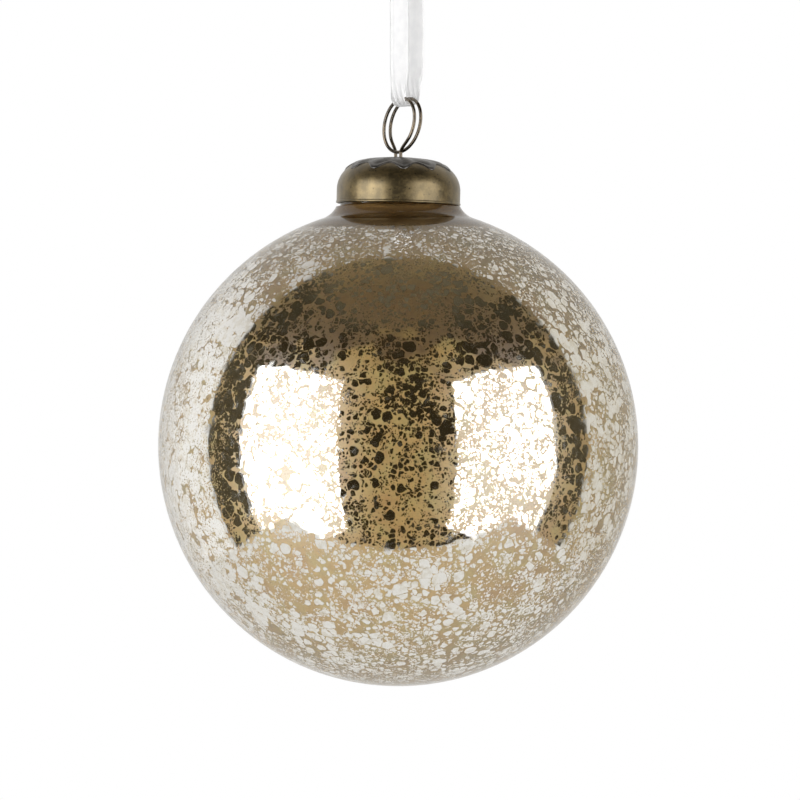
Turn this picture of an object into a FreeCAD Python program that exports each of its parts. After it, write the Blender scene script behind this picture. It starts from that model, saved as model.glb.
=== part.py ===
import FreeCAD, Part
import math
import os

V = FreeCAD.Vector

# Glass ball ornament, in millimetres. The origin is on the line of the hook that carries the ribbon,
# straight above the middle of the ball. +Z is up, +X is to the viewer's right and +Y points away.

# The ball
BALL_RADIUS = 50.0
GLASS_WALL = 1.6
HANG_DROP = 108.0          # from the origin down to the middle of the ball
SHOULDER_FILLET = 5.0      # outer radius where the ball runs up into its neck
FLARE_RADIUS = 17.4        # distance of that fillet's centre from the axis
SEAT_HEIGHT = 49.95        # small ledge under the cap, above the middle of the ball
NECK_RADIUS = 12.1
NECK_TOP = 54.9

# The cap and its rosette; heights are above the middle of the ball
CAP_RADIUS = 12.9
CAP_WALL = 0.35
CAP_BOTTOM = 50.35
CAP_CORNER_HEIGHT = 53.2   # the straight skirt ends here
CAP_CORNER_RADIUS = 6.0
CAP_TOP = 60.1
CAP_TILT_DEG = 1.4         # the cap sits a little lower on the viewer's right
RIM_BEAD = 0.12
ROSETTE_GAP = 0.03
ROSETTE_WALL = 0.3
PETALS = 11
PETAL_TIP_RADIUS = 11.1
PETAL_NOTCH_RADIUS = 9.3
FIRST_PETAL_DEG = -85.0

# The wire: a hanging loop of nearly two turns, and two spring legs inside the neck
WIRE_RADIUS = 0.325
HOLE_CLEARANCE = 0.1
LOOP_TURN_DEG = 52.0       # how far the loop is turned away from the viewer
LOOP_RADIUS = 5.57
LOOP_CENTRE = 66.98
LOOP_PITCH = 1.66
LOOP_LEAN = 2.6            # how far the top of the loop leans along its own plane
LOOP_TURNS = 1.6           # round part, between the bends that lead to the shanks
LOOP_STEPS = 20
SHANK_ACROSS = 1.75        # holes from the axis, along the loop's plane
SHANK_ASIDE = 0.7          # holes from the axis, square to it
SHANK_TOP = 61.2
LEG_PIVOT = 58.9
LEG_ROUTE = [(0.0, 0.0), (8.0, -6.9), (10.85, -15.9), (14.85, -20.0)]
LEG_BENDS = [1.2, 20.0]

# The ribbon: a flat loop under the wire and over a hook on the origin, tied in a knot above
RIBBON_WIDTH = 6.0
RIBBON_THICK = 0.3
RIBBON_SHIFT = 2.92        # middle of the strands from the axis, along the loop's plane
STRAND_ASIDE = 2.17        # each strand from the middle of the two
STRAND_BOTTOM = -26.0      # the strands start to close in on the wire here
BIGHT_ASIDE = 1.5          # half the width of the turn under the wire
BIGHT_BEND = 1.38
BIGHT_WIDTH = 4.0          # the ribbon bunches up under the wire, from 6 mm to 4 mm
BIGHT_SHIFT = 2.35
GATHER_HEIGHT = 7.0        # over which it widens again above the wire
TWIST_LEVEL = -18.0        # the ribbon twists about here
TWIST_GAP = 0.3
KNOT_SIZE = (3.3, 2.0, 2.9)
KNOT_FLAT = 0.4            # cut off the knot's underside, where the strands go in
KNOT_STRAND_ASIDE = 0.4
TAIL_WIDTH = 4.8
TAIL_LENGTH = 11.0
TAIL_LEAN_DEG = 17.0
TAIL_ASIDE = 0.5

RUN_SHARE = 0.45           # of a straight run, the most that the bend at its end takes up
BALL_Z = -HANG_DROP
TURN = math.radians(LOOP_TURN_DEG)
ALONG = V(math.cos(TURN), -math.sin(TURN), 0)    # along the plane of the wire loop
ASIDE = V(-math.sin(TURN), -math.cos(TURN), 0)   # square to it, towards the viewer
UP = V(0, 0, 1)


def place(along, aside, height):
    """A point from its distances along and aside of the loop's plane, and its height in the frame."""
    return ALONG * along + ASIDE * aside + UP * height


def above_ball(height):
    """A height above the middle of the ball, as a height in the frame."""
    return BALL_Z + height


def line(a, b):
    return Part.LineSegment(a, b).toShape()


def arc_about(centre, radius, start_deg, end_deg):
    """An arc in the XZ plane, from one angle to another about its centre; 0 degrees is +X."""
    def at(angle):
        turn = math.radians(angle)
        return V(centre[0] + radius * math.cos(turn), 0, centre[1] + radius * math.sin(turn))
    return Part.Arc(at(start_deg), at((start_deg + end_deg) / 2), at(end_deg)).toShape()


def spun(edges):
    """The solid that a closed outline in the XZ plane sweeps about the Z axis."""
    return Part.Face(Part.Wire(edges)).revolve(V(), UP, 360)


def rounded_route(points, radii):
    """A wire of straight runs joined by tangent arcs, with one radius for each inner point."""
    edges = []
    start = points[0]
    for before, corner, after, radius in zip(points, points[1:], points[2:], radii):
        back = (before - corner).normalize()
        ahead = (after - corner).normalize()
        half_turn = (math.pi - back.getAngle(ahead)) / 2
        reach = radius * math.tan(half_turn)
        inward = (back + ahead).normalize()
        middle = corner + inward * (radius / math.cos(half_turn) - radius)
        first = corner + back * reach
        last = corner + ahead * reach
        if (first - start).Length > 1e-6:
            edges.append(line(start, first))
        edges.append(Part.Arc(first, middle, last).toShape())
        start = last
    edges.append(line(start, points[-1]))
    return Part.Wire(edges)


def smooth_route(points):
    """A wire of straight runs whose bends are as large as the runs beside them allow."""
    radii = []
    for before, corner, after in zip(points, points[1:], points[2:]):
        back = before - corner
        ahead = after - corner
        half_turn = (math.pi - back.getAngle(ahead)) / 2
        radii.append(RUN_SHARE * min(back.Length, ahead.Length) / math.tan(half_turn))
    return rounded_route(points, radii)


def rod(path, radius):
    """A round wire along a path."""
    first = path.OrderedEdges[0]
    begin = first.firstVertex(True).Point
    along = first.tangentAt(first.FirstParameter)
    ring = Part.Wire(Part.makeCircle(radius, begin, along))
    return path.makePipeShell([ring], True, True)


def glass_ball():
    """Hollow ball with a fillet up to a short open neck, and a ledge that the cap hides."""
    centre_rise = math.sqrt((BALL_RADIUS + SHOULDER_FILLET) ** 2 - FLARE_RADIUS ** 2)
    join = math.degrees(math.atan2(centre_rise, FLARE_RADIUS))
    fillet = (FLARE_RADIUS, above_ball(centre_rise))
    middle = (0, BALL_Z)
    inner_fillet = SHOULDER_FILLET + GLASS_WALL
    bore = FLARE_RADIUS - inner_fillet
    seat_turn = math.degrees(math.asin((centre_rise - SEAT_HEIGHT) / SHOULDER_FILLET))
    seat_radius = FLARE_RADIUS - SHOULDER_FILLET * math.cos(math.radians(seat_turn))
    lip = (NECK_RADIUS - bore) / 2
    lip_base = above_ball(NECK_TOP - lip)
    seat = above_ball(SEAT_HEIGHT)
    return spun([
        arc_about(middle, BALL_RADIUS, -90, join),
        arc_about(fillet, SHOULDER_FILLET, join - 180, seat_turn - 180),
        line(V(seat_radius, 0, seat), V(NECK_RADIUS, 0, seat)),
        line(V(NECK_RADIUS, 0, seat), V(NECK_RADIUS, 0, lip_base)),
        arc_about((bore + lip, lip_base), lip, 0, 180),
        line(V(bore, 0, lip_base), V(bore, 0, fillet[1])),
        arc_about(fillet, inner_fillet, 180, join + 180),
        arc_about(middle, BALL_RADIUS - GLASS_WALL, join, -90),
        line(V(0, 0, above_ball(GLASS_WALL - BALL_RADIUS)), V(0, 0, above_ball(-BALL_RADIUS))),
    ])


def dome_edges(inset, low):
    """The cap's outline from its skirt at height low to its crown, moved inwards by inset."""
    corner = CAP_RADIUS - CAP_CORNER_RADIUS
    rise = CAP_TOP - CAP_CORNER_HEIGHT - CAP_CORNER_RADIUS
    drop = (corner ** 2 - rise ** 2) / (2 * rise)      # crown centre below the corner's centre
    crown_radius = CAP_CORNER_RADIUS + drop + rise - inset
    join = math.degrees(math.atan2(drop, corner))
    corner_z = above_ball(CAP_CORNER_HEIGHT)
    radius = CAP_RADIUS - inset
    return [
        line(V(radius, 0, low), V(radius, 0, corner_z)),
        arc_about((corner, corner_z), CAP_CORNER_RADIUS - inset, 0, join),
        arc_about((0, corner_z - drop), crown_radius, join, 90),
    ]


def dome_shell(outer_inset, inner_inset, low):
    """A shell of the cap's shape between two insets, from height low up."""
    outer = dome_edges(outer_inset, low)
    inner = dome_edges(inner_inset, low)
    outer_top = outer[-1].lastVertex(True).Point
    inner_top = inner[-1].lastVertex(True).Point
    base = line(V(CAP_RADIUS - inner_inset, 0, low), V(CAP_RADIUS - outer_inset, 0, low))
    return spun(Part.sortEdges(outer + inner + [base, line(outer_top, inner_top)])[0])


def tilted(shape):
    """The shape turned with the cap, which leans about the middle of its rim."""
    return shape.rotate(V(0, 0, above_ball(CAP_BOTTOM)), V(0, 1, 0), CAP_TILT_DEG)


def with_wire_holes(shape):
    """The shape with the two holes that the wire's shanks run in."""
    depth = 2 * (CAP_TOP - LEG_PIVOT)
    for side in (-1, 1):
        foot = place(side * SHANK_ACROSS, side * SHANK_ASIDE, above_ball(LEG_PIVOT))
        shape = shape.cut(Part.makeCylinder(WIRE_RADIUS + HOLE_CLEARANCE, depth, foot, UP))
    return shape


def cap_shell():
    """Pressed domed cap: a straight skirt with a small bead at its rim, and a rounded crown."""
    low = above_ball(CAP_BOTTOM)
    bead_radius = CAP_WALL / 2 + RIM_BEAD
    bead = Part.makeTorus(CAP_RADIUS - CAP_WALL / 2, bead_radius, V(0, 0, low + bead_radius), UP)
    clear_bore = Part.makeCylinder(CAP_RADIUS - CAP_WALL, 2 * bead_radius, V(0, 0, low), UP)
    return with_wire_holes(tilted(dome_shell(0, CAP_WALL, low).fuse(bead.cut(clear_bore))))


def petal_outline():
    """A flat face with one rounded scallop for each petal."""
    edges = []
    step = 2 * math.pi / PETALS

    def at(angle, radius):
        return V(radius * math.cos(angle), radius * math.sin(angle), above_ball(CAP_BOTTOM))

    for petal in range(PETALS):
        tip = math.radians(FIRST_PETAL_DEG) + petal * step
        edges.append(Part.Arc(at(tip - step / 2, PETAL_NOTCH_RADIUS), at(tip, PETAL_TIP_RADIUS),
                              at(tip + step / 2, PETAL_NOTCH_RADIUS)).toShape())
    return Part.Face(Part.Wire(edges))


def petal_rosette():
    """Thin flower of overlapping petals that lies on the cap's crown."""
    shell = dome_shell(-ROSETTE_GAP - ROSETTE_WALL, -ROSETTE_GAP, above_ball(CAP_BOTTOM))
    flower = petal_outline().extrude(UP * (2 * (CAP_TOP - CAP_BOTTOM)))
    return with_wire_holes(tilted(shell.common(flower)))


def loop_corner(turns):
    """A corner of the route round the loop; 0 turns is at the bottom, and it climbs on the left."""
    angle = -math.pi / 2 - 2 * math.pi * turns
    radius = LOOP_RADIUS / math.cos(math.pi * LOOP_TURNS / LOOP_STEPS)
    height = LOOP_CENTRE + radius * math.sin(angle)
    lean = LOOP_LEAN * (height - SHANK_TOP) / (LOOP_CENTRE + LOOP_RADIUS - SHANK_TOP)
    return place(radius * math.cos(angle) + lean, LOOP_PITCH * (turns - 1), above_ball(height))


def hanger_loop():
    """Hanging loop of one wire, with the two straight shanks that go down through the cap."""
    shank_foot = above_ball(LEG_PIVOT) + 2 * WIRE_RADIUS      # the legs start just below
    left, right = [
        [place(side * SHANK_ACROSS, side * SHANK_ASIDE, height)
         for height in (shank_foot, above_ball(SHANK_TOP))]
        for side in (-1, 1)
    ]
    first_turn = 1 - LOOP_TURNS / 2
    loop = [loop_corner(first_turn + LOOP_TURNS * step / LOOP_STEPS) for step in range(LOOP_STEPS + 1)]
    return rod(smooth_route(left + loop + right[::-1]), WIRE_RADIUS)


def spring_leg(side):
    """Spring leg of the wire: out under the cap, down the neck, then flared below the shoulder."""
    route = [place(side * (SHANK_ACROSS + along), side * SHANK_ASIDE, above_ball(LEG_PIVOT + height))
             for along, height in LEG_ROUTE]
    leg = rod(rounded_route(route, LEG_BENDS), WIRE_RADIUS)
    for end in (route[0], route[-1]):
        leg = leg.fuse(Part.makeSphere(WIRE_RADIUS, end))
    return leg.removeSplitter()


def ribbon_path():
    """The ribbon's middle line, down the near strand and up the far one, with its bend radii."""
    bight_bottom = above_ball(LOOP_CENTRE + LOOP_RADIUS) - BIGHT_ASIDE
    closing = BIGHT_ASIDE - STRAND_ASIDE
    last_run = math.hypot(closing, bight_bottom - STRAND_BOTTOM)
    closing_turn = math.asin(-closing / last_run)
    closing_bend = RUN_SHARE * last_run / math.tan(closing_turn / 2)
    hook_corner = STRAND_ASIDE * math.tan(math.pi / 8)       # the strands turn 45 degrees over the hook
    knot_entry = hook_corner + STRAND_ASIDE - KNOT_STRAND_ASIDE
    half = [(KNOT_STRAND_ASIDE, knot_entry), (STRAND_ASIDE, hook_corner),
            (STRAND_ASIDE, STRAND_BOTTOM), (BIGHT_ASIDE, bight_bottom)]
    bends = [STRAND_ASIDE, closing_bend, BIGHT_BEND]
    route = half + [(-aside, height) for aside, height in reversed(half)]
    points = [place(RIBBON_SHIFT, aside, height) for aside, height in route]
    return rounded_route(points, bends + bends[::-1]), bends


def ribbon_band():
    """The whole ribbon loop at its full width."""
    path, bends = ribbon_path()
    start = path.OrderedEdges[0].firstVertex(True).Point
    down = path.OrderedEdges[0].tangentAt(path.OrderedEdges[0].FirstParameter)
    across = ALONG * (RIBBON_WIDTH / 2)
    thick = down.cross(ALONG).normalize() * (RIBBON_THICK / 2)
    corners = [start + across + thick, start - across + thick,
               start - across - thick, start + across - thick]
    section = Part.makePolygon(corners + [corners[0]])
    band = path.makePipeShell([section], True, False)
    print("ribbon: radii", ", ".join(f"{bend:.2f}" for bend in bends), "mm, middle line",
          f"{path.Length:.2f} mm, volume {band.Volume:.2f} mm3 of",
          f"{RIBBON_WIDTH * RIBBON_THICK * path.Length:.2f} mm3")
    return band


def ribbon_outline():
    """A thick plate in the loop's plane that gathers the ribbon to the bight's width at the wire."""
    top = HANG_DROP
    wire_top = above_ball(LOOP_CENTRE + LOOP_RADIUS)
    low = above_ball(LOOP_CENTRE)
    left, right = [
        [(RIBBON_SHIFT + side * RIBBON_WIDTH / 2, top),
         (RIBBON_SHIFT + side * RIBBON_WIDTH / 2, wire_top + GATHER_HEIGHT),
         (BIGHT_SHIFT + side * BIGHT_WIDTH / 2, wire_top),
         (BIGHT_SHIFT + side * BIGHT_WIDTH / 2, low)]
        for side in (-1, 1)
    ]
    corners = [place(along, -RIBBON_WIDTH, height) for along, height in left + right[::-1]]
    return Part.Face(Part.makePolygon(corners + [corners[0]])).extrude(ASIDE * (2 * RIBBON_WIDTH))


def slab(low, high):
    """Everything between two heights."""
    return Part.makeBox(2 * BALL_RADIUS, 2 * BALL_RADIUS, high - low, V(-BALL_RADIUS, -BALL_RADIUS, low))


def ribbon_parts():
    """The ribbon cut into its lower loop and the two strands above the twist."""
    band = ribbon_band().common(ribbon_outline())
    lower = band.common(slab(BALL_Z, TWIST_LEVEL - TWIST_GAP / 2))
    upper = band.common(slab(TWIST_LEVEL + TWIST_GAP / 2, knot_bottom()))
    near, far = sorted(upper.Solids, key=lambda strand: -strand.CenterOfMass.dot(ASIDE))
    return {"ribbon_lower": lower, "ribbon_upper_near": near, "ribbon_upper_far": far}


def knot_bottom():
    """The knot's underside, a ribbon's thickness below the ends of the strands' middle lines."""
    return ribbon_path()[0].BoundBox.ZMax - RIBBON_THICK


def ribbon_knot():
    """The knot above the two strands, with the ribbon's two short tails."""
    size_along, size_aside, size_up = KNOT_SIZE
    scale = FreeCAD.Matrix()
    scale.scale(size_along, size_aside, size_up)
    bulk = Part.makeSphere(1).transformGeometry(scale)
    bulk.rotate(V(), UP, -LOOP_TURN_DEG)
    middle = knot_bottom() + size_up - KNOT_FLAT
    bulk.translate(place(RIBBON_SHIFT, 0, middle))
    knot = bulk.common(slab(knot_bottom(), middle + size_up))
    for side in (-1, 1):
        tail = Part.makeBox(TAIL_WIDTH, RIBBON_THICK, TAIL_LENGTH, V(-TAIL_WIDTH / 2, -RIBBON_THICK / 2, 0))
        tail.rotate(V(), V(0, 1, 0), side * TAIL_LEAN_DEG)
        tail.rotate(V(), UP, -LOOP_TURN_DEG)
        tail.translate(place(RIBBON_SHIFT, side * TAIL_ASIDE, middle))
        knot = knot.fuse(tail)
    return knot


def main():
    os.makedirs("parts", exist_ok=True)
    nodes = {
        "glass_ball": glass_ball(),
        "cap_shell": cap_shell(),
        "petal_rosette": petal_rosette(),
        "hanger_loop": hanger_loop(),
        "spring_leg_left": spring_leg(-1),
        "spring_leg_right": spring_leg(1),
        "ribbon_knot": ribbon_knot(),
    }
    nodes.update(ribbon_parts())
    for name, shape in nodes.items():
        shape.exportStep("parts/" + name + ".step")
        print(f"{name}: {len(shape.Solids)} solid, {shape.Volume:.3f} mm3, valid {shape.isValid()}")


main()
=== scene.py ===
import bpy
import math
from mathutils import Matrix, Vector, noise


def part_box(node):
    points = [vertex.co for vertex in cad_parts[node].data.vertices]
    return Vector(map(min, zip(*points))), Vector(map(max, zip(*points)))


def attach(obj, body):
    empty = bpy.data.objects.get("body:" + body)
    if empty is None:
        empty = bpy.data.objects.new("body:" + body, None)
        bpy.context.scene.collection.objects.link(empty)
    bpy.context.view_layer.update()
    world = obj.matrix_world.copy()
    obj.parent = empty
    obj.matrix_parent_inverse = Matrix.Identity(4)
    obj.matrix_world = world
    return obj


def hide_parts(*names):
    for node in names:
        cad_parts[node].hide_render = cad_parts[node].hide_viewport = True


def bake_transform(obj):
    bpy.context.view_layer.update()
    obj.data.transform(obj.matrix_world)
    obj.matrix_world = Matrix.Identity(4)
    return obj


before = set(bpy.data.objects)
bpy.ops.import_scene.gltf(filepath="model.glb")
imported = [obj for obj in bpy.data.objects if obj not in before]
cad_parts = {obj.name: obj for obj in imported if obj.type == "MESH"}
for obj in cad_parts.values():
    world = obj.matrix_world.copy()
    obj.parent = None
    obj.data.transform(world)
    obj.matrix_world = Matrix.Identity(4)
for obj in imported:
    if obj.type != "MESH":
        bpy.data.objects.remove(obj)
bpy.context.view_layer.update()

# Glass ball ornament, in metres, in the CAD model's frame: X to the right, Y away from the viewer and
# Z up. Sizes that a box can tell come from the frame. Most others repeat the CAD model's own, and the
# wire, the rosette, the ribbon and its knot are finer than it in places.
# Heights are above the middle of the ball, unless the comment beside them says "in the frame".
MM = 0.001

ball_low, ball_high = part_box("glass_ball")
BALL_RADIUS = (ball_high.x - ball_low.x) / 2
BALL_Z = ball_low.z + BALL_RADIUS    # in the frame
NECK_TOP = ball_high.z               # in the frame

# The ball
GLASS_WALL = 1.6 * MM
SHOULDER_FILLET = 5.0 * MM    # radius of the curve that takes the ball's outside up into its neck
FLARE_RADIUS = 17.4 * MM      # how far that curve's centre is from the axis
SEAT_HEIGHT = 49.95 * MM      # where the curve ends and the neck stands up
NECK_RADIUS = 12.1 * MM
NECK_CHAMFER = 0.1 * MM
BALL_SEGMENTS = 320
BALL_STEPS = 150
FILM_SINK = 0.04 * MM         # how far the silvering lies into the glass, so that no air is between them
FILM_THICK = 0.09 * MM
FILM_BELOW_LIP = 1.2 * MM

# The cap and its rosette
CAP_RADIUS = 12.9 * MM
CAP_WALL = 0.35 * MM
CAP_BOTTOM = 50.35 * MM
CAP_CORNER_HEIGHT = 53.2 * MM
CAP_CORNER_RADIUS = 6.0 * MM
CAP_TOP = 60.1 * MM
CAP_TILT = math.radians(1.4)
CAP_DENT = 0.035 * MM
CAP_DENT_SPREAD = 4.5 * MM
CAP_SEGMENTS = 240
RIM_BEAD = 0.12 * MM          # how much the rolled rim is thicker than the wall, on each side
ROSETTE_GAP = 0.03 * MM
ROSETTE_WALL = 0.13 * MM
PETALS = 11
PETAL_TIP_RADIUS = 11.3 * MM
PETAL_NOTCH_RADIUS = 9.6 * MM
FIRST_PETAL = math.radians(-85.0)
PETAL_PUFF = 0.22 * MM
PETAL_LIP = 0.05 * MM
PETAL_DIP = 0.06 * MM
PETAL_SEGMENTS = 28
ROSETTE_STEPS = 70

# The wire
WIRE_RADIUS = 0.35 * MM
WIRE_SIDES = 24
HOLE_RADIUS = 0.425 * MM
LOOP_TURN = math.radians(52.0)    # how far the loop's plane is turned about the vertical
LOOP_RADIUS = 5.57 * MM
LOOP_CENTRE = 66.8 * MM
LOOP_PITCH = 1.66 * MM            # how far one turn is from the next
LOOP_LEAN = 2.6 * MM              # how far the loop's top leans to the side
LOOP_START = 0.16                 # share of a turn from the bottom to where the wire joins the loop
LOOP_TURNS = 1.68
LOOP_STEPS = 42
SHANK_ACROSS = 1.75 * MM
SHANK_ASIDE = 0.7 * MM
SHANK_TOP = 61.2 * MM
BEND_BELOW = 0.6 * MM             # how far the bend at the shank's top reaches under and over it
BEND_ABOVE = 0.5 * MM
LEG_PIVOT = 58.9 * MM
# a leg's route across and up from its pivot, in mm; its first two points keep the first bend small
LEG_ROUTE = [(0.0, 0.3), (0.55, -0.47), (8.0, -6.9), (10.85, -15.9), (14.85, -20.0)]

# The ribbon
RIBBON_WIDTH = 6.0 * MM
RIBBON_THICK = 0.26 * MM
RIBBON_SHIFT = 2.92 * MM          # where its middle is along the loop's plane
RIBBON_COLUMNS = 28
BIGHT_WIDTH = 4.3 * MM            # the bight is the turn under the wire, where the ribbon is gathered
BIGHT_SHIFT = 2.35 * MM
GATHERED_BELOW = 0.5 * MM         # this and the next are heights above the bight's lowest point
FLAT_ABOVE = 8.0 * MM
PUCKER = 0.12 * MM
PUCKER_ACROSS = 19.0              # radians of its wave from edge to edge
PUCKER_UP = 9.0                   # and up to where the ribbon lies flat
CREASE = 0.13 * MM
CREASE_AT = -0.33                 # from the ribbon's middle, as a share of its width
CREASE_SPREAD = 0.05
CUP = 0.5 * MM
SELVEDGE = 0.35                   # how thick the very edge is, as a share of the ribbon
SELVEDGE_REACH = 0.03
# half of the ribbon's route, from the knot to the bight: aside from the loop's plane, and height in
# the frame, in mm
RIBBON_ROUTE = [(0.40, 2.67), (2.17, 0.90), (2.17, -26.0), (2.05, -33.4), (1.78, -37.12)]

# The knot and its two tails
KNOT_RISE = 2.3 * MM              # from the ribbon's ends up to the knot's middle
KNOT_STEPS = 96
KNOT_REACH = (2.1 * MM, 0.9 * MM)     # across: the middle of the trefoil's reach, and its swing
KNOT_HEIGHT = (1.7 * MM, 0.7 * MM)
KNOT_DEPTH = 0.95 * MM
STRAP_HALF_WIDTH = 1.25 * MM
STRAP_HALF_THICK = 0.52 * MM
STRAP_FOLD = 0.06 * MM
STRAP_SIDES = 20
TAIL_LENGTH = 11.2 * MM
TAIL_LEAN = math.radians(17.0)
TAIL_GAP = 0.5 * MM
TAIL_SWAY = 0.7 * MM
TAIL_FOLD = 0.35 * MM
TAIL_WIDTHS = (2.4 * MM, 5.0 * MM)    # in the knot, and spread out
TAIL_ROWS = 30
TAIL_COLUMNS = 16

ALONG = Vector((math.cos(LOOP_TURN), -math.sin(LOOP_TURN), 0))    # along the wire loop's plane
ASIDE = Vector((-math.sin(LOOP_TURN), -math.cos(LOOP_TURN), 0))   # square to it, towards the viewer
UP = Vector((0, 0, 1))


def place(along, aside, height):
    """A point from its distances along and aside of the loop's plane, and its height in the frame."""
    return ALONG * along + ASIDE * aside + UP * height


def above_ball(height):
    """A height above the middle of the ball, as a height in the frame."""
    return BALL_Z + height


def smoothstep(value, low, high):
    """0 below low, 1 above high, and an even curve between."""
    share = min(1.0, max(0.0, (value - low) / (high - low)))
    return share * share * (3 - 2 * share)


# Mesh making

def mesh_object(name, vertices, faces):
    """A smooth-shaded object in the scene."""
    mesh = bpy.data.meshes.new(name)
    mesh.from_pydata(vertices, [], faces)
    mesh.update()
    mesh.polygons.foreach_set("use_smooth", [True] * len(mesh.polygons))
    obj = bpy.data.objects.new(name, mesh)
    bpy.context.scene.collection.objects.link(obj)
    return obj


def skin(rings, closed=False):
    """Vertices and faces between rings of points. Each ring is closed, and a ring of one point is a
    pole. A closed skin also joins its last ring to its first."""
    vertices, numbered = [], []
    for ring in rings:
        numbered.append(range(len(vertices), len(vertices) + len(ring)))
        vertices.extend(ring)
    count = max(len(ring) for ring in rings)
    faces = []
    following = numbered[1:] + numbered[:1] if closed else numbered[1:]
    for low, high in zip(numbered, following):
        for i in range(count):
            j = (i + 1) % count
            corners = [low[i % len(low)], low[j % len(low)], high[j % len(high)], high[i % len(high)]]
            faces.append(list(dict.fromkeys(corners)))
    return vertices, faces


def lathe(name, profile, segments):
    """A solid of revolution about the Z axis from (radius, height) points."""
    turns = [2 * math.pi * i / segments for i in range(segments)]
    rings = []
    for radius, height in profile:
        if radius == 0:
            rings.append([Vector((0, 0, height))])
        else:
            rings.append([Vector((radius * math.cos(t), radius * math.sin(t), height)) for t in turns])
    return mesh_object(name, *skin(rings))


def arc(centre, radius, start_deg, end_deg, steps):
    """Points of an arc in the profile plane, both ends included."""
    points = []
    for step in range(steps + 1):
        turn = math.radians(start_deg + (end_deg - start_deg) * step / steps)
        points.append((centre[0] + radius * math.cos(turn), centre[1] + radius * math.sin(turn)))
    return points


def tube(name, points, radius, sides=20, round_ends=()):
    """A round tube along points. round_ends names the ends, 0 and -1, that are domed."""
    tangents = []
    for i in range(len(points)):
        ahead = points[min(i + 1, len(points) - 1)]
        behind = points[max(i - 1, 0)]
        tangents.append((ahead - behind).normalized())
    side = tangents[0].orthogonal().normalized()
    turns = [2 * math.pi * i / sides for i in range(sides)]
    rings = []
    for point, tangent in zip(points, tangents):
        side = (side - tangent * side.dot(tangent)).normalized()
        other = tangent.cross(side)
        rings.append([point + (side * math.cos(t) + other * math.sin(t)) * radius for t in turns])
    end_steps = 5
    for end in (0, -1):
        outward = tangents[end] * (-1 if end == 0 else 1)
        bulge = radius if end in round_ends else 0.0
        caps = []
        for step in range(1, end_steps):
            turn = step / end_steps * math.pi / 2
            middle = points[end] + outward * (bulge * math.sin(turn))
            caps.append([middle + (corner - points[end]) * math.cos(turn) for corner in rings[end]])
        caps.append([points[end] + outward * bulge])
        rings = caps[::-1] + rings if end == 0 else rings + caps
    return mesh_object(name, *skin(rings))


def strip(name, line, section):
    """A closed strip: a ring round each point of the line, and a flat face at each end."""
    rings = []
    for i, point in enumerate(line):
        tangent = line[min(i + 1, len(line) - 1)] - line[max(i - 1, 0)]
        rings.append(section(point, tangent.normalized()))
    vertices, faces = skin(rings)
    ring = len(rings[0])
    last = len(vertices) - ring
    for i in range(ring // 2 - 1):
        faces.append((i, ring - 1 - i, ring - 2 - i, i + 1))
        faces.append((last + i, last + i + 1, last + ring - 2 - i, last + ring - 1 - i))
    return mesh_object(name, vertices, faces)


def smoothed_line(name, points, steps):
    """Points along a smooth NURBS line that has these control points."""
    curve = bpy.data.curves.new(name, "CURVE")
    curve.dimensions = "3D"
    spline = curve.splines.new("NURBS")
    spline.points.add(len(points) - 1)
    for control, point in zip(spline.points, points):
        control.co = (*point, 1)
    spline.order_u = 3
    spline.use_endpoint_u = True
    spline.resolution_u = steps
    obj = bpy.data.objects.new(name, curve)
    bpy.context.scene.collection.objects.link(obj)
    bpy.context.view_layer.update()
    line = bpy.data.meshes.new_from_object(obj)
    along_line = [vertex.co.copy() for vertex in line.vertices]
    bpy.data.objects.remove(obj)
    bpy.data.meshes.remove(line)
    return along_line


# Material making

class Nodes:
    """Short calls for one tree of shader nodes. An argument can be a number, a tuple or a socket."""

    def __init__(self, tree):
        self.tree = tree

    def feed(self, socket, value):
        """Links an input socket to another socket, or sets its value."""
        if isinstance(value, bpy.types.NodeSocket):
            self.tree.links.new(value, socket)
        else:
            socket.default_value = value

    def node(self, kind, settings, inputs):
        """Makes a node, with its settings and inputs by name, and gives its outputs."""
        made = self.tree.nodes.new("ShaderNode" + kind)
        for name, value in settings.items():
            setattr(made, name, value)
        for name, value in inputs.items():
            self.feed(made.inputs[name], value)
        return made.outputs

    def math(self, operation, a, b=0.0, c=0.0):
        """One step of arithmetic on up to three numbers."""
        return self.node("Math", {"operation": operation}, {0: a, 1: b, 2: c})[0]

    def total(self, first, *others):
        """The sum of all its arguments."""
        for other in others:
            first = self.math("ADD", first, other)
        return first

    def span(self, value, low, high, to_low=0.0, to_high=1.0):
        """to_low where value is under low, to_high where it is over high, smooth between."""
        inputs = {"Value": value, "From Min": low, "From Max": high, "To Min": to_low, "To Max": to_high}
        return self.node("MapRange", {"interpolation_type": "SMOOTHSTEP"}, inputs)["Result"]

    def mix(self, share, a, b):
        """Colour a where share is 0, and b where it is 1."""
        made = self.tree.nodes.new("ShaderNodeMix")
        made.data_type = "RGBA"
        self.feed(made.inputs["Factor"], share)
        first, second = [socket for socket in made.inputs if socket.type == "RGBA"]
        self.feed(first, a)
        self.feed(second, b)
        return [socket for socket in made.outputs if socket.type == "RGBA"][0]


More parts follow.
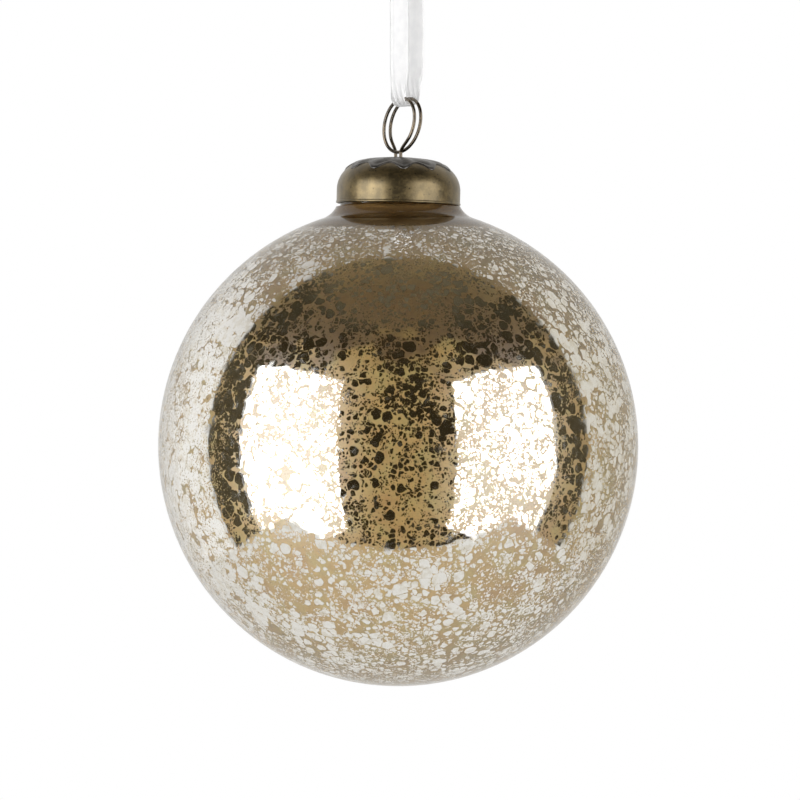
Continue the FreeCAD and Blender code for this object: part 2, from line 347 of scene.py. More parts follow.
class Shader(Nodes):
    """Short calls for one material. Places and sizes are in the unit that position was given."""

    def __init__(self, name):
        self.material = bpy.data.materials.new(name)
        self.material.use_nodes = True
        super().__init__(self.material.node_tree)
        self.surface = self.tree.nodes["Principled BSDF"].inputs

    def position(self, middle, unit):
        """Where a point is on the piece, from the middle, in the unit."""
        where = self.node("TexCoord", {}, {})["Object"]
        shifted = self.node("VectorMath", {"operation": "SUBTRACT"}, {0: where, 1: middle})[0]
        return self.node("VectorMath", {"operation": "SCALE"}, {0: shifted, "Scale": 1 / unit})[0]

    def distance(self, where, spot):
        """How far a place is from one spot."""
        return self.node("VectorMath", {"operation": "DISTANCE"}, {0: where, 1: spot})["Value"]

    def noise(self, where, size, detail=2.0, output="Fac"):
        """Cloudy noise with patches of about this size."""
        inputs = {"Vector": where, "Scale": 1 / size, "Detail": detail}
        return self.node("TexNoise", {}, inputs)[output]

    def drift(self, where, size, most):
        """A slow change of up to about this much either way."""
        return self.span(self.noise(where, size, 1.0), 0.3, 0.7, -most, most)

    def shifted(self, where, by, size, most):
        """A place moved about at random by up to about this much, in patches of about this size."""
        stray = self.noise(by, size, 1.0, "Color")
        stray = self.node("VectorMath", {"operation": "SUBTRACT"}, {0: stray, 1: (0.5, 0.5, 0.5)})[0]
        stray = self.node("VectorMath", {"operation": "SCALE"}, {0: stray, "Scale": 2 * most})[0]
        return self.node("VectorMath", {"operation": "ADD"}, {0: where, 1: stray})[0]

    def cells(self, where, size, feature):
        """Rounded cells of about this size."""
        return self.node("TexVoronoi", {"feature": feature}, {"Vector": where, "Scale": 1 / size})

    def bump(self, height, strength, distance, normal=None):
        """The surface's normal, or the one given, roughened by a height."""
        inputs = {"Height": height, "Strength": strength, "Distance": distance}
        if normal is not None:
            inputs["Normal"] = normal
        return self.node("Bump", {}, inputs)["Normal"]

    def set(self, **values):
        """Sets or links the surface's own sockets, named with _ for a space."""
        for name, value in values.items():
            self.feed(self.surface[name.replace("_", " ")], value)


# The silvering. Places are in mm from the middle of the ball, and sizes are in mm.
CROWN_PATCH = (0.0, -30.0, 38.0)    # high on the front
FRONT_PATCH = (3.0, -50.0, -3.0)    # the middle of the front
RIGHT_PATCH = (13.0, -47.0, 3.0)    # to the right of it
# each size of cell, with the share of places that have one where there is little silver and much
CELL_SIZES = ((2.3, 0.02, 0.75), (1.25, 0.30, 0.85), (0.65, 0.55, 0.92), (0.34, 0.45, 0.80))
SPECK_SPACING = 0.45


def scattered_cells(shader, where, size, presence, reach, gap):
    """Rounded cells of about one size. presence is the share of places that have a cell, reach how
    far a cell spreads, and gap the least room between two. The first result is 1 where there is a
    place with a cell, and the second 1 inside the cells."""
    cell = shader.cells(where, size, "F1")
    draws = shader.node("SeparateColor", {}, {"Color": cell["Color"]})
    present = shader.math("LESS_THAN", draws["Red"], presence)
    radius = shader.math("MULTIPLY", reach, shader.span(draws["Green"], 0.0, 1.0, 0.75, 1.25))
    inside = shader.span(shader.math("SUBTRACT", radius, cell["Distance"]), -0.03, 0.05)
    edge = shader.cells(where, size, "DISTANCE_TO_EDGE")["Distance"]
    room = shader.span(shader.math("SUBTRACT", edge, gap), 0.0, 0.05)
    parted = shader.math("MULTIPLY", inside, room)
    return present, shader.math("MULTIPLY", present, parted)


def silver_cover(shader, where, axes):
    """How much silver a place has, and how common its large cells are. There is most on the left,
    and less high on the front, in its middle, low down and towards the neck. Large cells are also
    rare to the right of the front and near the neck."""
    cover = shader.total(
        0.50,
        shader.span(axes["X"], -37.0, -25.0, 0.33, 0.0),
        shader.span(shader.distance(where, CROWN_PATCH), 12.0, 24.0, -0.11, 0.0),
        shader.span(shader.distance(where, FRONT_PATCH), 7.0, 22.0, -0.03, 0.0),
        shader.span(axes["Z"], 28.0, 44.0, 0.0, -0.10),
        shader.span(axes["Z"], -30.0, -18.0, -0.05, 0.0),
        shader.drift(where, 24.0, 0.10),
        shader.drift(where, 5.0, 0.16),
    )
    coarse = shader.total(
        cover,
        shader.drift(where, 9.0, 0.22),
        shader.span(shader.distance(where, RIGHT_PATCH), 8.0, 18.0, -0.25, 0.0),
        shader.span(axes["Z"], 33.0, 41.0, 0.0, -0.30),
    )
    return cover, coarse


def silver_cells(shader, where, axes):
    """1 inside the silver's cells and 0 in the paint between them. The largest cells are placed
    first, and each smaller size fills places that have none yet."""
    warped = shader.shifted(where, where, 1.3, 0.55)
    warped = shader.shifted(warped, where, 0.4, 0.12)
    cover, coarse = silver_cover(shader, where, axes)
    reach = shader.span(cover, 0.1, 0.95, 0.38, 0.82)
    gap = shader.span(cover, 0.4, 0.8, 0.025, -0.05)
    largest = CELL_SIZES[0][0]
    silver, vacant = 0.0, 1.0
    for size, rare, common in CELL_SIZES:
        presence = shader.span(coarse, 0.15, 0.95, rare, common)
        sized_gap = shader.math("MULTIPLY", gap, (largest / size) ** 0.25)
        present, cells = scattered_cells(shader, warped, size, presence, reach, sized_gap)
        silver = shader.math("MAXIMUM", silver, shader.math("MULTIPLY", cells, vacant))
        vacant = shader.math("MULTIPLY", vacant, shader.math("SUBTRACT", 1.0, present))

    # specks of paint in the silver, most of them on the left; the neck has no silver
    speck_size = shader.total(shader.span(axes["X"], -38.0, -26.0, 0.30, -0.08),
                              shader.drift(where, 7.0, 0.1))
    specks = shader.math("SUBTRACT", shader.cells(where, SPECK_SPACING, "F1")["Distance"], speck_size)
    silver = shader.math("MULTIPLY", silver, shader.span(specks, -0.06, 0.04))
    return shader.math("MULTIPLY", silver, shader.span(axes["Z"], 43.6, 45.2, 1.0, 0.0))


def paint_colour(shader, where, axes, neck):
    """Gold-brown paint in yellow and rusty patches, darker in the neck, with a fine mottle. Painted shade
    darkens it on the shoulder, most on the front, and towards the sides and back."""
    yellow = shader.span(shader.noise(where, 4.0, 3.0), 0.42, 0.66)
    rust = shader.span(shader.noise(where, 6.0, 2.0), 0.53, 0.78)
    paint = shader.mix(yellow, (0.57, 0.368, 0.105, 1), (0.535, 0.405, 0.125, 1))
    paint = shader.mix(rust, paint, (0.50, 0.285, 0.080, 1))
    # painted shade: darker on the shoulder, most on the front, where less of the softboxes' light falls
    shoulder = shader.total(axes["Z"], shader.drift(where, 6.0, 4.0))
    shade = shader.span(shoulder, 15.5, 22.0, 0.0, 0.92)
    shade = shader.math("MULTIPLY", shade, shader.span(axes["Y"], -38.0, -27.0, 1.0, 0.4))
    paint = shader.mix(shade, paint, (0.13, 0.070, 0.021, 1))
    # painted shade: the paint darkens towards the sides and back of the ball
    side = shader.mix(0.45, paint, (0.10, 0.07, 0.035, 1))
    paint = shader.mix(shader.span(axes["Y"], -38.0, -14.0), paint, side)
    paint = shader.mix(neck, paint, (0.23, 0.135, 0.050, 1))
    mottle = shader.span(shader.noise(where, 0.5, 3.0), 0.3, 0.7, 0.0, 0.35)
    return shader.mix(mottle, paint, (0.35, 0.21, 0.06, 1))


def lining_material():
    """Broken silvering: rounded mirror cells of many sizes in a network of gold-brown paint."""
    shader = Shader("broken_silvering")
    where = shader.position((0, 0, BALL_Z), MM)
    axes = shader.node("SeparateXYZ", {}, {"Vector": where})
    silver = silver_cells(shader, where, axes)
    neck = shader.span(axes["Z"], 43.2, 45.6)
    paint = paint_colour(shader, where, axes, neck)
    tarnish = shader.span(shader.noise(where, 1.6, 3.0), 0.42, 0.72)
    mirror = shader.mix(tarnish, (0.93, 0.92, 0.89, 1), (0.84, 0.80, 0.71, 1))

    # the edge of a cell is metal with the colour of the paint, and so is the neck
    silvered = shader.span(silver, 0.1, 0.45)
    metal = shader.math("MAXIMUM", silvered, neck)
    haze = shader.span(shader.noise(where, 1.8, 1.0), 0.48, 0.75, 0.03, 0.13)
    roughness = shader.math("MULTIPLY", silvered, shader.math("SUBTRACT", haze, 0.3))
    roughness = shader.math("ADD", roughness, shader.math("MULTIPLY_ADD", neck, 0.3, 0.3))
    ripple = shader.bump(shader.noise(where, 3.0, 1.0), 1.0, 0.02 * MM)
    shader.set(Base_Color=shader.mix(shader.span(silver, 0.4, 0.9), paint, mirror), Metallic=metal,
               Roughness=roughness, Normal=ripple, Specular_IOR_Level=1.0, IOR=1.75)
    return shader.material


def glass_material():
    """Clear, polished glass."""
    shader = Shader("clear_glass")
    shader.set(Base_Color=(1, 1, 1, 1), Roughness=0.0, IOR=1.5, Transmission_Weight=1.0)
    return shader.material


def brass_material(name, dark, light, roughness, grain):
    """Antiqued brass: blotches between a dark and a light tone, with grain and small pits."""
    shader = Shader(name)
    where = shader.position((0, 0, above_ball(CAP_BOTTOM)), MM)
    cloud = shader.noise(where, 2.4, 4.0)
    fine = shader.noise(where, 0.4, 2.0)
    tone = shader.total(shader.math("MULTIPLY", cloud, 0.65), shader.math("MULTIPLY", fine, 0.35))
    base = shader.mix(shader.span(tone, 0.38, 0.62), dark, light)
    pits = shader.span(shader.cells(where, 1.1, "F1")["Distance"], 0.08, 0.20)
    pit_colour = tuple(channel * 0.5 for channel in dark[:3]) + (1,)
    base = shader.mix(pits, pit_colour, base)
    normal = shader.bump(fine, 0.6, grain)
    normal = shader.bump(pits, 0.5, grain, normal)
    shader.set(Base_Color=base, Metallic=1.0, Normal=normal, Coat_Weight=0.6, Coat_Roughness=0.3,
               Roughness=shader.span(fine, 0.3, 0.7, roughness - 0.07, roughness + 0.1))
    return shader.material


def satin_material():
    """White satin ribbon with fine cross threads, thin enough for light to come through."""
    shader = Shader("white_satin")
    where = shader.position((0, 0, 0), MM)
    weave = {"Vector": where, "Scale": 1.3, "Distortion": 0.6, "Detail": 1.0}
    threads = shader.node("TexWave", {"bands_direction": "Z"}, weave)["Fac"]
    soft = shader.noise(where, 2.0, 3.0)
    base = shader.mix(shader.span(soft, 0.3, 0.7), (0.585, 0.585, 0.595, 1), (0.64, 0.64, 0.64, 1))
    shader.set(Base_Color=base, Roughness=0.45, Normal=shader.bump(threads, 0.2, 0.02 * MM),
               Sheen_Weight=0.1, Specular_IOR_Level=0.3, Subsurface_Weight=1.0,
               Subsurface_Radius=(1.0, 1.0, 1.0), Subsurface_Scale=4 * MM)
    return shader.material


LINING = lining_material()
GLASS = glass_material()
CAP_BRASS = brass_material("cap_brass", dark=(0.117, 0.089, 0.042, 1), light=(0.208, 0.155, 0.072, 1),
                           roughness=0.40, grain=0.02 * MM)
# painted shade and painted reflection: the rosette's brass is darker and greyer than the cap's, standing
# in for the dark ceiling that its upturned top reflects
ROSETTE_BRASS_SHADED = brass_material("rosette_brass_painted_shade", dark=(0.07, 0.067, 0.065, 1), light=(0.15, 0.14, 0.13, 1),
                               roughness=0.42, grain=0.02 * MM)
WIRE_BRASS = brass_material("wire_brass", dark=(0.085, 0.072, 0.055, 1), light=(0.17, 0.13, 0.085, 1),
                            roughness=0.22, grain=0.004 * MM)
SATIN = satin_material()


def finished(obj, material, slot, *nodes):
    """Gives a piece its material and hides the CAD nodes that it stands for."""
    obj.data.materials.append(material)
    if nodes:
        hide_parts(*nodes)
    return obj


# The camera: level, straight in front, a little above the middle of the ball
VIEW_DISTANCE = 1.0
VIEW_WIDTH = 0.1668       # how much is in view at the ball
VIEW_ACROSS = 0.375 * MM
VIEW_HEIGHT = 9.6 * MM
camera = bpy.data.cameras.new("camera")
camera.sensor_width = 36.0
camera.lens = camera.sensor_width * VIEW_DISTANCE / VIEW_WIDTH
camera_object = bpy.data.objects.new("camera", camera)
camera_object.location = (VIEW_ACROSS, -VIEW_DISTANCE, above_ball(VIEW_HEIGHT))
camera_object.rotation_euler = (math.pi / 2, 0, 0)
bpy.context.scene.collection.objects.link(camera_object)
bpy.context.scene.camera = camera_object

# The ribbon: a flat strip that follows its own smooth line, under the wire and up to the knot
route = [place(RIBBON_SHIFT, aside * MM, height * MM) for aside, height in RIBBON_ROUTE]
route += [place(RIBBON_SHIFT, -aside * MM, height * MM) for aside, height in reversed(RIBBON_ROUTE)]
ribbon_line = smoothed_line("ribbon_line", route, steps=24)
bight_level = min(point.z for point in ribbon_line)


def ribbon_section(point, tangent):
    """One closed ring round the strip: across its near face and back across its far face. The strip
    is narrow and puckered under the wire, and elsewhere slightly cupped, with one long crease."""
    rise = point.z - bight_level
    gathered = 1 - smoothstep(rise, GATHERED_BELOW, FLAT_ABOVE)
    shift = (BIGHT_SHIFT - RIBBON_SHIFT) * gathered
    width = RIBBON_WIDTH + (BIGHT_WIDTH - RIBBON_WIDTH) * gathered
    face = ALONG.cross(tangent).normalized()
    near, far = [], []
    for column in range(RIBBON_COLUMNS + 1):
        across = column / RIBBON_COLUMNS - 0.5
        wave = PUCKER_ACROSS * across + PUCKER_UP * rise / FLAT_ABOVE
        pucker = PUCKER * gathered * math.sin(wave)
        crease = CREASE * math.exp(-((across - CREASE_AT) / CREASE_SPREAD) ** 2) * (1 - gathered)
        cup = CUP * across * across * (1 - gathered)
        selvedge = SELVEDGE + (1 - SELVEDGE) * smoothstep(0.5 - abs(across), 0.0, SELVEDGE_REACH)
        middle = point + ALONG * (shift + width * across) + face * (pucker - crease + cup)
        near.append(middle + face * (RIBBON_THICK / 2 * selvedge))
        far.append(middle - face * (RIBBON_THICK / 2 * selvedge))
    return near + far[::-1]


ribbon = strip("ribbon_loop", ribbon_line, ribbon_section)
finished(ribbon, SATIN, "ribbon", "ribbon_lower", "ribbon_upper_near", "ribbon_upper_far")
ribbon.visible_shadow = False    # thin satin lets the light through
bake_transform(ribbon)

# The knot: the strap crosses over itself in an overhand knot, and its two tails stand up from it
KNOT_MIDDLE = route[0].z + KNOT_RISE


def knot_point(turn):
    """The middle line of the knot's strap, a flattened trefoil that closes after two turns."""
    swing = math.cos(1.5 * turn)
    across = (KNOT_REACH[0] + KNOT_REACH[1] * swing) * math.cos(turn)
    height = (KNOT_HEIGHT[0] + KNOT_HEIGHT[1] * swing) * math.sin(turn)
    depth = KNOT_DEPTH * math.sin(1.5 * turn)
    return place(RIBBON_SHIFT + across, depth, KNOT_MIDDLE + height)


def knot_ring(turn):
    """An oval section of the strap, wide along the knot's surface and slightly folded."""
    point = knot_point(turn)
    small = 0.01
    tangent = (knot_point(turn + small) - knot_point(turn - small)).normalized()
    outward = point - place(RIBBON_SHIFT, 0, KNOT_MIDDLE)
    outward = (outward - tangent * outward.dot(tangent)).normalized()
    across = tangent.cross(outward)
    ring = []
    for i in range(STRAP_SIDES):
        turned = 2 * math.pi * i / STRAP_SIDES
        half_thick = STRAP_HALF_THICK + STRAP_FOLD * math.cos(5 * turned)
        ring.append(point + across * (STRAP_HALF_WIDTH * math.cos(turned))
                    + outward * (half_thick * math.sin(turned)))
    return ring


knot_rings = [knot_ring(4 * math.pi * i / KNOT_STEPS) for i in range(KNOT_STEPS)]
knot = mesh_object("ribbon_knot_wraps", *skin(knot_rings, closed=True))
finished(knot, SATIN, "ribbon", "ribbon_knot")
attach(knot, "ribbon_top")


def ribbon_tail(name, side):
    """A short tail that leans away from the other one and ends in a slanting cut."""
    lean = TAIL_LEAN * side
    line = []
    for row in range(TAIL_ROWS + 1):
        share = row / TAIL_ROWS
        length = TAIL_LENGTH * share
        sway = TAIL_SWAY * math.sin(2.6 * share)
        line.append(place(RIBBON_SHIFT + length * math.sin(lean), side * (TAIL_GAP + sway),
                          KNOT_MIDDLE + length * math.cos(lean)))
    start = line[0]
    leaning = (line[-1] - line[0]).normalized()
    sideways = leaning.cross(ASIDE).normalized()

    def section(point, tangent):
        """A ring round the tail, folded in the knot and spreading flat above it."""
        share = (point - start).dot(leaning) / TAIL_LENGTH
        spread = smoothstep(share, 0.1, 0.5)
        width = TAIL_WIDTHS[0] + (TAIL_WIDTHS[1] - TAIL_WIDTHS[0]) * spread
        near, far = [], []
        for column in range(TAIL_COLUMNS + 1):
            across = column / TAIL_COLUMNS - 0.5
            slant = leaning * (across * width * 0.5 * smoothstep(share, 0.5, 1.0) * side)
            fold = ASIDE * (TAIL_FOLD * math.cos(across * 9) * (1 - 0.7 * spread))
            middle = point + sideways * (across * width) + slant + fold
            near.append(middle + ASIDE * (RIBBON_THICK / 2))
            far.append(middle - ASIDE * (RIBBON_THICK / 2))
        return near + far[::-1]

    tail = strip(name, line, section)
    finished(tail, SATIN, "ribbon")
    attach(tail, "ribbon_top")
    return tail


tails = [ribbon_tail("ribbon_tail_left", -1), ribbon_tail("ribbon_tail_right", 1)]
tuple(ribbon_line[0])
[tuple(point) for point in ribbon_line]


# The glass ball and the film inside it

def ball_wall(inset):
    """The ball's outline from its lowest point up to the shoulder, at a depth inside its surface,
    with the centre of the shoulder's curve and the angle where the two join."""
    rise = math.sqrt((BALL_RADIUS + SHOULDER_FILLET) ** 2 - FLARE_RADIUS ** 2)
    join = math.degrees(math.atan2(rise, FLARE_RADIUS))
    points = arc((0, BALL_Z), BALL_RADIUS - inset, -90, join, BALL_STEPS)
    points[0] = (0.0, points[0][1])
    return points, (FLARE_RADIUS, above_ball(rise)), join


def upright(radius, low, high, steps):
    """Profile points straight up from low, which is left out, to high."""
    return [(radius, low + (high - low) * step / steps) for step in range(1, steps + 1)]


def glass_shell():
    """The ball's outside, neck, rounded lip and inside as one closed wall."""
    outer, fillet, join = ball_wall(0.0)
    inner = ball_wall(GLASS_WALL)[0]
    seat = above_ball(SEAT_HEIGHT)
    seat_turn = math.degrees(math.asin((fillet[1] - seat) / SHOULDER_FILLET))
    inner_fillet = SHOULDER_FILLET + GLASS_WALL
    bore = FLARE_RADIUS - inner_fillet
    lip = (NECK_RADIUS - bore) / 2
    lip_base = NECK_TOP - lip
    profile = outer + arc(fillet, SHOULDER_FILLET, join - 180, seat_turn - 180, steps=24)[1:]
    profile += [(NECK_RADIUS + NECK_CHAMFER, seat), (NECK_RADIUS, seat + NECK_CHAMFER)]
    profile += upright(NECK_RADIUS, seat, lip_base, steps=8)[:-1]
    profile += arc((bore + lip, lip_base), lip, 0, 180, steps=16)
    profile += arc(fillet, inner_fillet, 180, join + 180, steps=30) + inner[::-1][1:]
    return lathe("glass_ball_shell", profile, BALL_SEGMENTS)


def mirror_film():
    """The silvering on the ball's inside, up into the neck."""
    fillet, join = ball_wall(0.0)[1:]
    sides = []
    for inset in (GLASS_WALL - FILM_SINK, GLASS_WALL - FILM_SINK + FILM_THICK):
        radius = SHOULDER_FILLET + inset
        side = ball_wall(inset)[0] + arc(fillet, radius, join + 180, 180, steps=30)[1:]
        side += upright(fillet[0] - radius, fillet[1], NECK_TOP - FILM_BELOW_LIP, steps=8)
        sides.append(side)
    return lathe("mirror_lining", sides[0] + sides[1][::-1], BALL_SEGMENTS)


ball = finished(glass_shell(), GLASS, "glass", "glass_ball")
lining = finished(mirror_film(), LINING, "glass")
for piece in (ball, lining):
    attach(piece, "ball")


# The cap and its rosette

def crown_arcs():
    """Centre and radius of the cap's crown arc, centre of its corner arc, and the angle where the
    two join."""
    corner = CAP_RADIUS - CAP_CORNER_RADIUS
    rise = CAP_TOP - CAP_CORNER_HEIGHT - CAP_CORNER_RADIUS
    drop = (corner ** 2 - rise ** 2) / (2 * rise)
    join = math.degrees(math.atan2(drop, corner))
    corner_z = above_ball(CAP_CORNER_HEIGHT)
    return (0, corner_z - drop), CAP_CORNER_RADIUS + drop + rise, (corner, corner_z), join


def dome_point(radius):
    """Height of the cap's outside at a distance from its axis, and how far the surface leans there."""
    crown, crown_radius, corner, join = crown_arcs()
    join_radius = crown_radius * math.cos(math.radians(join))
    if radius < join_radius:
        lean = math.asin(radius / crown_radius)
        return crown[1] + crown_radius * math.cos(lean), lean
    lean = math.asin(min(1.0, (radius - corner[0]) / CAP_CORNER_RADIUS))
    return corner[1] + CAP_CORNER_RADIUS * math.cos(lean), lean


def tilted(obj):
    """Turns a piece with the cap, about the middle of the cap's rim."""
    middle = Vector((0, 0, above_ball(CAP_BOTTOM)))
    turn = Matrix.Rotation(CAP_TILT, 4, "Y")
    obj.data.transform(Matrix.Translation(middle) @ turn @ Matrix.Translation(-middle))
    return obj


def bored(obj):
    """Cuts the two holes that the wire's shanks run in."""
    past_the_crown = 2 * MM
    for side in (-1, 1):
        foot = place(side * SHANK_ACROSS, side * SHANK_ASIDE, above_ball(CAP_BOTTOM))
        top = foot + UP * (CAP_TOP - CAP_BOTTOM + past_the_crown)
        drill = tube("drill", [foot, top], HOLE_RADIUS)
        cut = obj.modifiers.new("wire_hole", "BOOLEAN")
        cut.operation = "DIFFERENCE"
        cut.object = drill
        bpy.context.view_layer.update()
        evaluated = obj.evaluated_get(bpy.context.evaluated_depsgraph_get())
        mesh = bpy.data.meshes.new_from_object(evaluated)
        obj.modifiers.clear()
        obj.data = mesh
        bpy.data.objects.remove(drill)
    return obj


def cap_dome():
    """Pressed cap: a straight skirt with a rolled rim, a rounded corner and a crown, slightly dented."""
    crown, crown_radius, corner, join = crown_arcs()
    bead = CAP_WALL / 2 + RIM_BEAD
    low = above_ball(CAP_BOTTOM)
    skirt_low = low + 2 * bead
    outside = arc((CAP_RADIUS - CAP_WALL / 2, low + bead), bead, -180, 60, steps=14)
    outside += [(CAP_RADIUS, skirt_low)] + upright(CAP_RADIUS, skirt_low, corner[1], steps=10)[:-1]
    outside += arc(corner, CAP_CORNER_RADIUS, 0, join, steps=30)
    outside += arc(crown, crown_radius, join, 90, steps=40)[1:]
    inside = arc(crown, crown_radius - CAP_WALL, 90, join, steps=40)
    inside += arc(corner, CAP_CORNER_RADIUS - CAP_WALL, join, 0, steps=30)[1:]
    inside.append((CAP_RADIUS - CAP_WALL, skirt_low))
    outside[-1] = (0.0, outside[-1][1])
    inside[0] = (0.0, inside[0][1])
    dome = lathe("cap_dome", inside + outside, CAP_SEGMENTS)
    for vertex in dome.data.vertices:
        outward = Vector((vertex.co.x, vertex.co.y, 0)).normalized()
        vertex.co += outward * (CAP_DENT * noise.noise(vertex.co / CAP_DENT_SPREAD))
    return bored(tilted(dome))


def petal_edge(turn):
    """How far out the rosette reaches at an angle: round tips with round notches between."""
    wave = 0.5 + 0.5 * math.cos(PETALS * (turn - FIRST_PETAL))
    return PETAL_NOTCH_RADIUS + (PETAL_TIP_RADIUS - PETAL_NOTCH_RADIUS) * wave


def rosette_point(turn, share, top):
    """A point of the rosette's top or underside, share of the way from its middle to its edge. Each
    petal is puffed from a quarter of the way out, dips at nine tenths and ends in a raised lip."""
    radius = petal_edge(turn) * share
    height, lean = dome_point(radius)
    ridge = abs(math.cos(PETALS * (turn - FIRST_PETAL) / 2))
    puff = PETAL_PUFF * ridge ** 0.8 * smoothstep(share, 0.25, 0.7) * (1 - smoothstep(share, 0.72, 0.93))
    lip = PETAL_LIP * math.exp(-((share - 0.965) / 0.02) ** 2)
    dip = PETAL_DIP * math.exp(-((share - 0.90) / 0.03) ** 2)
    rounding = 1 - smoothstep(share, 0.975, 1.0) * 0.7
    out = ROSETTE_GAP
    if top:
        out += (ROSETTE_WALL + puff) * rounding + lip - dip
    else:
        out += puff * 0.85
    outward = Vector((math.cos(turn), math.sin(turn), 0))
    foot = outward * radius + UP * height
    return foot + (outward * math.sin(lean) + UP * math.cos(lean)) * out


def petal_rosette():
    """Flower of puffed petals with a raised lip, lying on the crown."""
    segments = PETALS * PETAL_SEGMENTS
    turns = [2 * math.pi * i / segments for i in range(segments)]
    shares = [step / ROSETTE_STEPS for step in range(1, ROSETTE_STEPS + 1)]
    rings = [[rosette_point(0.0, 0.0, False)]]
    rings += [[rosette_point(turn, share, False) for turn in turns] for share in shares]
    rings += [[rosette_point(turn, share, True) for turn in turns] for share in reversed(shares)]
    rings.append([rosette_point(0.0, 0.0, True)])
    return bored(tilted(mesh_object("cap_rosette", *skin(rings))))


cap = finished(cap_dome(), CAP_BRASS, "cap_brass", "cap_shell")
rosette = finished(petal_rosette(), ROSETTE_BRASS_SHADED, "cap_brass", "petal_rosette")
for piece in (cap, rosette):
    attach(piece, "cap")


# The wire: the double loop, its two shanks, and the spring legs under the cap

def loop_point(turns):
    """The wire's middle line in its loop; 0 turns is at the bottom, and it climbs on the left."""
    angle = -math.pi / 2 - 2 * math.pi * turns
    height = LOOP_CENTRE + LOOP_RADIUS * math.sin(angle)
    lean = LOOP_LEAN * (height - SHANK_TOP) / (LOOP_CENTRE + LOOP_RADIUS - SHANK_TOP)
    return place(LOOP_RADIUS * math.cos(angle) + lean, LOOP_PITCH * (turns - 1), above_ball(height))


def shank(side):
    """The wire from its foot inside the cap up to where the loop begins."""
    foot = LEG_PIVOT + 2 * WIRE_RADIUS
    heights = (foot, foot + 2 * WIRE_RADIUS, SHANK_TOP - BEND_BELOW, SHANK_TOP + BEND_ABOVE)
    return [place(side * SHANK_ACROSS, side * SHANK_ASIDE, above_ball(height)) for height in heights]


def leg_route(side):
    """The spring leg from its top, inside the cap, down to its foot."""
    corners = [(0.0, 2 * WIRE_RADIUS)] + [(across * MM, rise * MM) for across, rise in LEG_ROUTE]
    return [place(side * (SHANK_ACROSS + across), side * SHANK_ASIDE, above_ball(LEG_PIVOT + rise))
            for across, rise in corners]


loop_controls = [loop_point(LOOP_START + LOOP_TURNS * step / LOOP_STEPS) for step in range(LOOP_STEPS + 1)]
wire_line = smoothed_line("wire_line", shank(-1) + loop_controls + shank(1)[::-1], steps=8)
wire = tube("hanger_wire", wire_line, WIRE_RADIUS, WIRE_SIDES)
finished(wire, WIRE_BRASS, "wire_brass", "hanger_loop")
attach(wire, "hanger")

for side, body in ((-1, "leg_left"), (1, "leg_right")):
    leg_line = smoothed_line("leg_line", leg_route(side), steps=24)
    leg = tube("spring_" + body, leg_line, WIRE_RADIUS, WIRE_SIDES, round_ends=(-1,))
    finished(leg, WIRE_BRASS, "wire_brass", "spring_" + body)
    pivot = leg_line[0]
    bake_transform(leg)
    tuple(pivot)


# Light and surroundings: two tall softboxes in front, a white ground behind and below, a dark studio
SOFTBOX_DISTANCE = 0.8
FLOOR_DROP = 0.30         # below the middle of the ball
FLOOR_HALF_WIDTH = 0.48
FLOOR_NEAR = -0.278
FLOOR_FAR = 0.55
WHITE = (1, 1, 1, 1)
PALE = (0.76, 0.749, 0.722, 1)    # the floor, and what the camera sees behind it from the sides and back


def softbox(name, azimuths, elevations, radiance):
    """A rectangular light that fills a span of directions, in degrees, as seen from the ball."""
    azimuth = math.radians((azimuths[0] + azimuths[1]) / 2)
    half_width = SOFTBOX_DISTANCE * math.tan(math.radians(abs(azimuths[1] - azimuths[0]) / 2))
    bottom = SOFTBOX_DISTANCE * math.tan(math.radians(elevations[0]))
    top = SOFTBOX_DISTANCE * math.tan(math.radians(elevations[1]))
    light = bpy.data.lights.new(name, "AREA")
    light.shape = "RECTANGLE"
    light.size = 2 * half_width
    light.size_y = top - bottom
    light.energy = radiance * math.pi * light.size * light.size_y
    obj = bpy.data.objects.new(name, light)
    towards = Vector((math.sin(azimuth), -math.cos(azimuth), 0))
    obj.location = towards * SOFTBOX_DISTANCE + UP * (BALL_Z + (top + bottom) / 2)
    obj.rotation_euler = towards.to_track_quat("Z", "Y").to_euler()
    bpy.context.scene.collection.objects.link(obj)


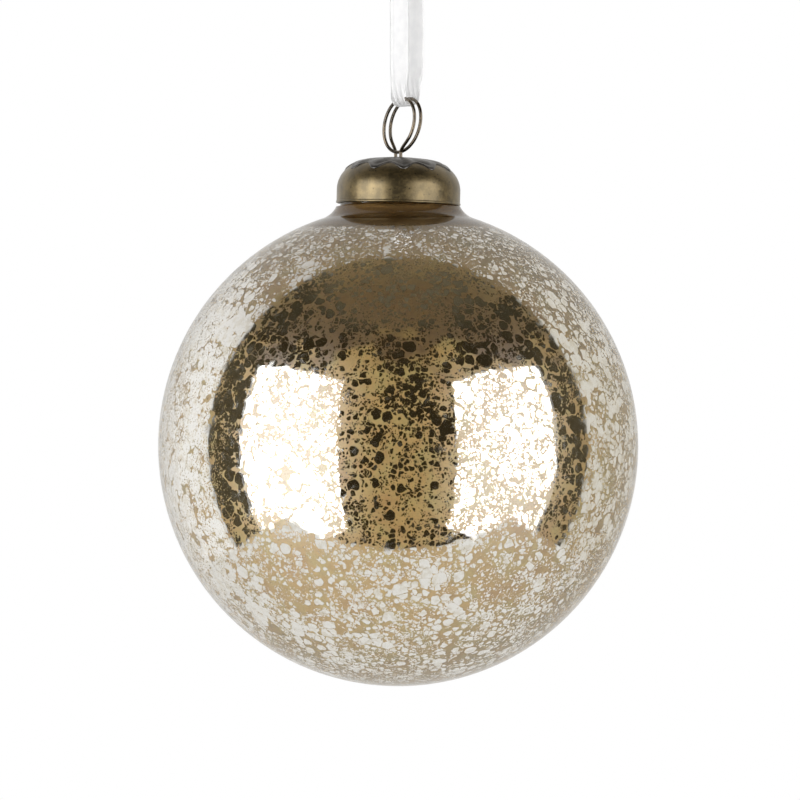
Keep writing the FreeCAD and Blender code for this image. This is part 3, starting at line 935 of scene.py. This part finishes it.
def studio_world():
    """A dark studio in front with lighter walls and a dim ceiling, and a white ground behind that is
    dimmer straight behind, overhead and on the right. Matt surfaces get an even light from it, and
    the camera sees a plain sweep, from white behind the object to the floor's own tone."""
    world = bpy.data.worlds.new("studio")
    world.use_nodes = True
    bpy.context.scene.world = world
    nodes = Nodes(world.node_tree)
    step, mix = nodes.span, nodes.mix
    direction = nodes.node("TexCoord", {}, {})["Generated"]
    axes = nodes.node("SeparateXYZ", {}, {"Vector": direction})

    wall = step(nodes.math("ABSOLUTE", axes["X"]), 0.70, 0.95)
    dark = mix(wall, (0.029, 0.021, 0.010, 1), (0.070, 0.057, 0.033, 1))
    ceiling = step(nodes.math("MULTIPLY_ADD", axes["Y"], 0.3, axes["Z"]), 0.62, 0.72)
    above = mix(step(axes["Z"], 0.80, 1.0), (0.044, 0.036, 0.020, 1), (0.116, 0.098, 0.060, 1))
    dark = mix(ceiling, dark, above)
    white = mix(step(axes["Y"], 0.60, 0.92), (0.91, 0.90, 0.88, 1), (0.79, 0.78, 0.76, 1))
    white = mix(step(axes["Z"], 0.25, 0.95), white, (0.52, 0.50, 0.47, 1))
    white = mix(step(axes["X"], 0.0, 0.8), white, (0.69, 0.665, 0.60, 1))
    studio = mix(step(axes["Y"], 0.235, 0.265), dark, white)

    path = nodes.node("LightPath", {}, {})
    scattered = nodes.math("GREATER_THAN", path["Diffuse Depth"], 0.5)
    studio = mix(scattered, studio, (0.26, 0.26, 0.26, 1))
    backdrop = mix(step(axes["Y"], 0.3, 0.9), PALE, WHITE)
    backdrop = mix(step(axes["Z"], -0.22, -0.10), PALE, backdrop)
    seen = mix(path["Is Camera Ray"], studio, backdrop)
    nodes.feed(nodes.tree.nodes["Background"].inputs["Color"], seen)


def floor():
    """A plain pale table under the ball. It is clear from below."""
    left, right = -FLOOR_HALF_WIDTH, FLOOR_HALF_WIDTH
    outline = ((left, FLOOR_NEAR), (right, FLOOR_NEAR), (right, FLOOR_FAR), (left, FLOOR_FAR))
    corners = [Vector((x, y, above_ball(-FLOOR_DROP))) for x, y in outline]
    obj = mesh_object("floor", corners, [(0, 1, 2, 3)])
    material = bpy.data.materials.new("floor_white")
    material.use_nodes = True
    material.node_tree.nodes.clear()
    nodes = Nodes(material.node_tree)
    glow = nodes.node("Emission", {}, {"Color": PALE})["Emission"]
    clear = nodes.node("BsdfTransparent", {}, {})["BSDF"]
    underside = nodes.node("NewGeometry", {}, {})["Backfacing"]
    surface = nodes.node("MixShader", {}, {0: underside, 1: glow, 2: clear})["Shader"]
    nodes.node("OutputMaterial", {}, {"Surface": surface})
    obj.data.materials.append(material)


softbox("softbox_left", azimuths=(-28.6, -79.2), elevations=(-41.0, 32.4), radiance=4.1)
softbox("softbox_right", azimuths=(27.5, 79.8), elevations=(-40.0, 32.4), radiance=2.8)
studio_world()
floor()
bpy.context.scene.view_settings.view_transform = "Standard"
